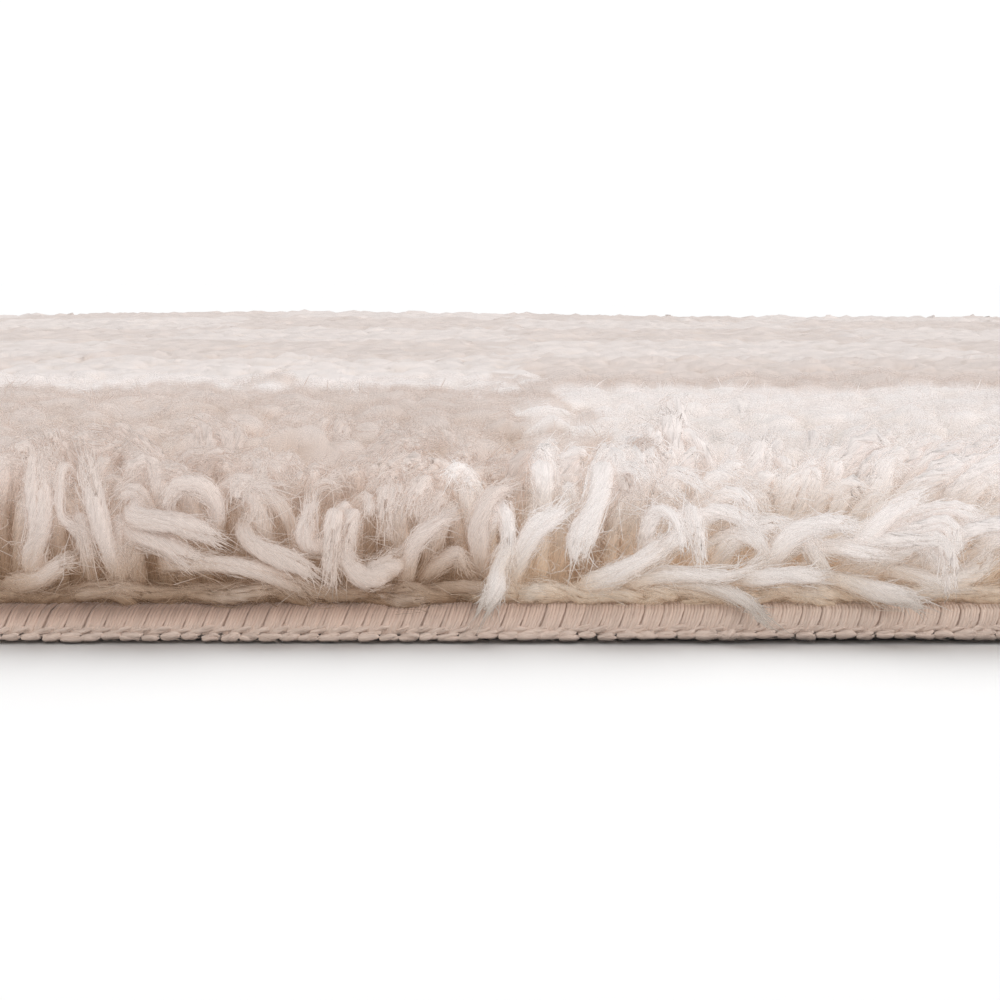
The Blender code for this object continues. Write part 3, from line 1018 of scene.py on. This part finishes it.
def plain_marks(count, chance):
    return np.zeros(count), chance.uniform(0, 1, count)


def fine_edge(chance):
    """Every thread of the stretch of the front edge that the camera sees."""
    centres = np.arange(*FINE_EDGE, STITCH)
    places = (np.arange(WRAPS) - (WRAPS - 1) / 2) * STITCH / WRAPS
    paths = wrap_paths(np.repeat(centres, WRAPS), np.tile(places, len(centres)), 7, chance)
    count = len(paths)
    radii = chance.uniform(*WRAP_RADIUS, (count, 1)) * MM * np.ones(7)
    sets = [tubes(paths, radii, 6, *plain_marks(count, chance), twist=40.0)]
    sets += all_strays(sets[0], {"fluff": 5}, chance)
    ridges = wrap_paths(centres, 0 * centres, 9, chance)
    heart = np.array((-HALF + ROLLS[0]["in"] * MM, ROLLS[0]["up"] * MM))
    ridges[..., 1:] += unit(heart - ridges[..., 1:]) * RIDGE_DEEP
    radii = np.full(ridges.shape[:2], RIDGE / 2)
    tone = np.full(len(centres), RIDGE_SHADE_TONE)
    sets.append(tubes(ridges, radii, 8, tone, chance.uniform(0, 1, len(centres))))
    for row in LOOPS:
        paths, radii = knots(centres + row["shift"] * STITCH, row, 7, chance)
        core = tubes(paths, radii, CORE_SIDES, *plain_marks(len(centres), chance))
        sets.append(plied(core, 3, 5, chance))
        sets += all_strays(core, {"fluff": 22}, chance)
    return sets


def simple_edge(start, end, quarter, chance):
    """A stretch of edge with one ridge and one loop a stitch."""
    centres = np.arange(start + STITCH / 2, end, STITCH)
    paths = turned(wrap_paths(centres, 0 * centres, 4, chance), quarter)
    radii = np.full(paths.shape[:2], PLAIN_RIDGE)
    ridges = tubes(paths, radii, 4, *plain_marks(len(centres), chance))
    paths, radii = knots(centres, PLAIN_LOOPS, 3, chance)
    return [ridges, tubes(turned(paths, quarter), radii, 4, *plain_marks(len(centres), chance))]


def edge_rolls(quarter):
    """The plain rolls that the threads lie on. Their tone says which of them are of the grey thread."""
    x = np.linspace(-HALF + ROLL_END, HALF - ROLL_END, ROLL_POINTS)
    made = []
    for row in ROLLS:
        path = as_paths(x, -HALF + row["in"] * MM, row["up"] * MM)[None]
        radii = np.full((1, ROLL_POINTS), row["radius"] * MM)
        made.append(tubes(turned(path, quarter), radii, 10, np.full(1, row["under"]), np.full(1, 0.5)))
    return made


def overlocked_edges(material):
    made = []
    for quarter, side in enumerate(("front", "right", "back", "left")):
        chance = np.random.default_rng(60 + quarter)
        sets = edge_rolls(quarter)
        if side == "front":
            sets += fine_edge(chance)
            sets += simple_edge(-HALF, FINE_EDGE[0] - STITCH / 2, quarter, chance)
            sets += simple_edge(FINE_EDGE[1], HALF, quarter, chance)
        else:
            sets += simple_edge(-HALF, HALF, quarter, chance)
        made.append(mesh_of("overlock_" + side, sets, material, "edge_" + side))
    return made


# ---- Ground cloth ----


def ground_weave(material):
    """The woven sheet under the pile, a touch uneven, with its underside on the floor."""
    axis = np.linspace(-INNER, INNER, WEAVE_CELLS + 1)
    x, y = np.meshgrid(axis, axis)
    low = WEAVE_UNEVEN * ramp(inside(x, y), 0, 30 * MM) * (1 + smooth_field(0.05, 21)(x, y))
    size = WEAVE_CELLS + 1
    verts = np.concatenate([
        np.stack([x, y, low + height], axis=-1).reshape(-1, 3)
        for height in (WEAVE_UNDER, CLOTH_TOP - WEAVE_SUNK)])
    step = np.arange(WEAVE_CELLS)
    start = (step[:, None] * size + step[None]).ravel()
    above = size * size
    end = WEAVE_CELLS * size
    under = np.stack([start, start + size, start + size + 1, start + 1], axis=-1)
    upper = np.stack([start, start + 1, start + size + 1, start + size], axis=-1) + above
    rims = (
        (step, step + 1),
        (step * size + WEAVE_CELLS, (step + 1) * size + WEAVE_CELLS),
        (end + step + 1, end + step),
        ((step + 1) * size, step * size),
    )
    walls = [np.stack([a, b, b + above, a + above], axis=-1) for a, b in rims]
    one = {"verts": verts, "yarn": np.zeros_like(verts), "grain": verts.copy(),
           "faces": [under, upper] + walls}
    return mesh_of("ground_weave", [one], material, "ground_cloth")


# ---- Materials ----


class Nodes:
    """A material's node tree, with short calls for the nodes used here."""

    def __init__(self, material):
        self.material = material
        self.material.use_nodes = True
        self.tree = self.material.node_tree
        self.shader = self.tree.nodes["Principled BSDF"]

    def add(self, kind, **settings):
        node = self.tree.nodes.new(kind)
        for key, value in settings.items():
            setattr(node, key, value)
        return node

    def feed(self, socket, value):
        if isinstance(value, bpy.types.NodeSocket):
            self.tree.links.new(value, socket)
        else:
            socket.default_value = value

    def attribute(self, name):
        return self.add("ShaderNodeAttribute", attribute_name=name).outputs["Vector"]

    def place(self):
        return self.add("ShaderNodeTexCoord").outputs["Object"]

    def parts(self, vector):
        node = self.add("ShaderNodeSeparateXYZ")
        self.feed(node.inputs[0], vector)
        return node.outputs

    def math(self, operation, first, second=0.0):
        node = self.add("ShaderNodeMath", operation=operation)
        self.feed(node.inputs[0], first)
        self.feed(node.inputs[1], second)
        return node.outputs[0]

    def blend(self, share, first, second):
        node = self.add("ShaderNodeMix", data_type="RGBA")
        self.feed(node.inputs["Factor"], share)
        for name, colour in (("A", first), ("B", second)):
            self.feed(node.inputs[name], (*colour, 1) if isinstance(colour, tuple) else colour)
        return node.outputs["Result"]

    def spread(self, value, low, high, out_low=0.0, out_high=1.0):
        node = self.add("ShaderNodeMapRange")
        names = ("Value", "From Min", "From Max", "To Min", "To Max")
        for name, number in zip(names, (value, low, high, out_low, out_high)):
            self.feed(node.inputs[name], number)
        return node.outputs["Result"]

    def noise(self, vector, scale, detail=2.0, stretch=None, distortion=0.0):
        if stretch:
            move = self.add("ShaderNodeMapping")
            self.feed(move.inputs["Vector"], vector)
            move.inputs["Scale"].default_value = stretch
            vector = move.outputs[0]
        node = self.add("ShaderNodeTexNoise")
        self.feed(node.inputs["Vector"], vector)
        for name, number in (("Scale", scale), ("Detail", detail), ("Distortion", distortion)):
            node.inputs[name].default_value = number
        return node.outputs["Fac"]

    def surface(self, colour, value, roughness, specular):
        """The surface's colour, made brighter or darker by value, its roughness and its gloss."""
        node = self.add("ShaderNodeHueSaturation")
        self.feed(node.inputs["Color"], colour)
        self.feed(node.inputs["Value"], value)
        self.feed(self.shader.inputs["Base Color"], node.outputs[0])
        self.feed(self.shader.inputs["Roughness"], roughness)
        self.shader.inputs["Specular IOR Level"].default_value = specular

    def bump(self, height, distance, strength):
        node = self.add("ShaderNodeBump")
        self.feed(node.inputs["Height"], height)
        node.inputs["Distance"].default_value = distance
        node.inputs["Strength"].default_value = strength
        self.feed(self.shader.inputs["Normal"], node.outputs[0])


def yarn_material(name, relief):
    """Fluffy yarn, streaked along its fibres, with painted shade: darker and warmer deep in the pile, and
    darker low down, most of all just above the binding.
    """
    nodes = Nodes(bpy.data.materials.new(name))
    tone, lit, luck = nodes.parts(nodes.attribute("yarn"))
    streaks = nodes.noise(nodes.attribute("grain"), 1.0, 3.0, stretch=YARN_STREAKS)
    place = nodes.place()
    clouds = nodes.noise(place, 28.0)
    # Painted shade: darker low in the pile, and darker still just above the binding
    shade = nodes.spread(nodes.parts(place)[2], 5 * MM, 24 * MM, 0.85, 1.0)
    foot = nodes.spread(nodes.parts(place)[2], 5.5 * MM, 9.5 * MM, 0.80, 1.0)
    # Painted shade: from the deep and half shade colours to the tip colour as the yarn is more open to
    # the light
    root = nodes.blend(tone, BEIGE_DEEP_SHADE, CREAM_DEEP_SHADE)
    middle = nodes.blend(tone, BEIGE_HALF_SHADE, CREAM_HALF_SHADE)
    tip = nodes.blend(tone, BEIGE, CREAM)
    lower = nodes.blend(nodes.spread(lit, 0.10, 0.50), root, middle)
    colour = nodes.blend(nodes.spread(lit, 0.50, 0.92), lower, tip)
    streaked = nodes.spread(streaks, 0.3, 0.7, -0.03, 0.03)
    value = nodes.math("ADD", streaked, nodes.spread(clouds, 0.3, 0.7, 0.96, 1.03))
    value = nodes.math("ADD", value, nodes.spread(luck, 0, 1, -0.03, 0.03))
    value = nodes.math("MULTIPLY", value, nodes.math("MULTIPLY", shade, foot))
    nodes.surface(colour, value, nodes.spread(streaks, 0.2, 0.8, 0.80, 0.98), 0.0)
    nodes.bump(streaks, relief, 0.3)
    return nodes.material


def halo_material():
    """The same yarn as fine separate fibres, with clear gaps between them."""
    nodes = Nodes(yarn_material("pile_halo", 0.05 * MM))
    wider = nodes.parts(nodes.attribute("yarn"))[2]
    fibres = nodes.noise(nodes.attribute("grain"), 1.0, 2.0, stretch=HALO_STREAKS, distortion=0.6)
    thinned = nodes.math("SUBTRACT", fibres, nodes.spread(wider, 0.1, 0.8, 0.0, 0.13))
    nodes.feed(nodes.shader.inputs["Alpha"], nodes.spread(thinned, 0.46, 0.62, 0.0, 0.7))
    return nodes.material


def edge_material():
    """Fine matt thread with a tight ply, with painted shade on the binding under the pile and a painted
    shadow at its foot by the floor.
    """
    nodes = Nodes(bpy.data.materials.new("edge_yarn"))
    under, _, luck = nodes.parts(nodes.attribute("yarn"))
    ply = nodes.noise(nodes.attribute("grain"), 1.0, 2.0, stretch=THREAD_STREAKS)
    place = nodes.place()
    clouds = nodes.noise(place, 40.0)
    x, _, z = nodes.parts(place)
    colour = nodes.blend(nodes.spread(ply, 0.35, 0.65), EDGE_YARN_DARK, EDGE_YARN)
    # Painted shade: the binding's top browner under the pile, more so to the left
    top = nodes.blend(nodes.spread(x, *SHADE_X), EDGE_YARN_SHADED, EDGE_YARN_TOP_SHADE)
    colour = nodes.blend(nodes.spread(z, *TOP_SHADE_HEIGHT), colour, top)
    # The grey thread's colour, darkened as painted shade, on the low roll and partly on the ridges
    colour = nodes.blend(under, colour, EDGE_GREY_THREAD_AND_SHADE)
    clouded = nodes.spread(clouds, 0.3, 0.7, 0.95, 1.05)
    value = nodes.math("ADD", clouded, nodes.spread(luck, 0, 1, -0.06, 0.06))
    # Painted shade under the pile, at the binding's top
    top_shade = nodes.spread(x, *SHADE_X, PILE_SHADE["left"], PILE_SHADE["right"])
    # Painted shadow at the foot, where the binding meets the floor, reaching higher where the loops do
    foot_shade_from, foot_shade_full = (
        nodes.spread(x, LIFT_FROM, LIFT_FULL, *FOOT_SHADE[name]) for name in ("from", "full"))
    for share in (nodes.spread(z, *PILE_SHADE_HEIGHT, PILE_SHADE["foot"], top_shade),
                  nodes.spread(z, foot_shade_from, foot_shade_full, FOOT_SHADE["share"], 1.0)):
        value = nodes.math("MULTIPLY", value, share)
    nodes.surface(colour, value, nodes.spread(ply, 0.2, 0.8, 0.75, 0.95), 0.2)
    nodes.shader.inputs["Sheen Weight"].default_value = 0.2
    nodes.bump(ply, 0.12 * MM, 0.7)
    return nodes.material


def weave_material():
    """Coarse plain weave: threads over and under each other, each a little different."""
    nodes = Nodes(bpy.data.materials.new("ground_weave"))
    place = nodes.place()
    x, y, _ = nodes.parts(place)
    wobble = nodes.spread(nodes.noise(place, 60.0), 0, 1, -0.6 * MM, 0.6 * MM)

    def threads(axis):
        strayed = nodes.math("ADD", axis, wobble)
        return nodes.math("SINE", nodes.math("MULTIPLY", strayed, math.pi / WEAVE_PITCH))

    height = nodes.math("ABSOLUTE", nodes.math("MULTIPLY", threads(x), threads(y)))
    fine = nodes.noise(place, 1400.0, 3.0)
    colour = nodes.blend(nodes.spread(height, 0.05, 0.7), CLOTH_DARK, CLOTH_LIGHT)
    nodes.surface(colour, nodes.spread(fine, 0.3, 0.7, 0.85, 1.12),
                  nodes.spread(fine, 0.2, 0.8, 0.80, 0.98), 0.2)
    nodes.bump(height, 0.8 * MM, 1.0)
    return nodes.material


def floor_material():
    nodes = Nodes(bpy.data.materials.new("floor"))
    nodes.shader.inputs["Base Color"].default_value = (*FLOOR, 1)
    nodes.shader.inputs["Roughness"].default_value = 0.8
    nodes.shader.inputs["Specular IOR Level"].default_value = 0.0
    return nodes.material


# ---- Floor, light and camera ----


def stage_floor():
    reach = 30.0
    corners = [(-reach, -reach, 0), (reach, -reach, 0), (reach, reach, 0), (-reach, reach, 0)]
    mesh = bpy.data.meshes.new("floor")
    mesh.from_pydata(corners, [], [(0, 1, 2, 3)])
    mesh.materials.append(floor_material())
    floor = bpy.data.objects.new("floor", mesh)
    bpy.context.scene.collection.objects.link(floor)
    return floor


def lamp(row, groups):
    """A far lamp, which shines on some groups of pieces alone."""
    light = bpy.data.lights.new(row["name"], "SUN")
    light.energy = row["strength"]
    light.color = row["colour"]
    light.angle = math.radians(row["spread"])
    light.use_shadow = row["spread"] > 0
    made = bpy.data.objects.new(row["name"], light)
    x, y, z = row["from"]
    made.rotation_euler = (math.atan2(math.hypot(x, y), z), 0, math.atan2(x, -y))
    lit = bpy.data.collections.new("lit_by_" + row["name"])
    for group in row["groups"]:
        for piece in groups[group]:
            lit.objects.link(piece)
    made.light_linking.receiver_collection = lit
    bpy.context.scene.collection.objects.link(made)


def studio():
    """A white backdrop for the camera alone, a dimmer sky, and plain colours."""
    scene = bpy.context.scene
    world = bpy.data.worlds.new("studio")
    world.use_nodes = True
    nodes, links = world.node_tree.nodes, world.node_tree.links
    sky = nodes["Background"]
    sky.inputs["Color"].default_value = (*WHITE, 1)
    path = nodes.new("ShaderNodeLightPath")
    strength = nodes.new("ShaderNodeMapRange")
    strength.inputs["To Min"].default_value = SKY
    strength.inputs["To Max"].default_value = BACKDROP
    links.new(path.outputs["Is Camera Ray"], strength.inputs["Value"])
    links.new(strength.outputs["Result"], sky.inputs["Strength"])
    scene.world = world
    scene.view_settings.view_transform = "Standard"
    scene.cycles.transparent_max_bounces = 64


def camera():
    lens = bpy.data.cameras.new("camera")
    lens.sensor_width = SENSOR
    lens.lens = LENS
    lens.clip_start = 0.01
    made = bpy.data.objects.new("camera", lens)
    made.location = CAMERA_PLACE
    made.rotation_euler = (math.pi / 2 - CAMERA_DOWN, 0, 0)
    bpy.context.scene.collection.objects.link(made)
    bpy.context.scene.camera = made


def main():
    camera()
    studio()
    floor = stage_floor()
    yarn = yarn_material("pile_yarn", 0.30 * MM)
    far_yarn = yarn_material("pile_yarn_far", 0.10 * MM)
    halo_yarn = halo_material()
    pile = bed(far_yarn, halo_yarn) + [mist(far_yarn), loose_fluff(yarn)]
    pile += laid_strands(yarn, halo_yarn)
    for number, zone in enumerate(ZONES):
        pile += pile_zone(zone, ZONES[:number], yarn if zone["plies"] else far_yarn, halo_yarn)
    edges = overlocked_edges(edge_material())
    cloth = ground_weave(weave_material())
    groups = {"floor": [floor], "edge": edges + [cloth], "pile": pile}
    for row in LAMPS:
        lamp(row, groups)


main()
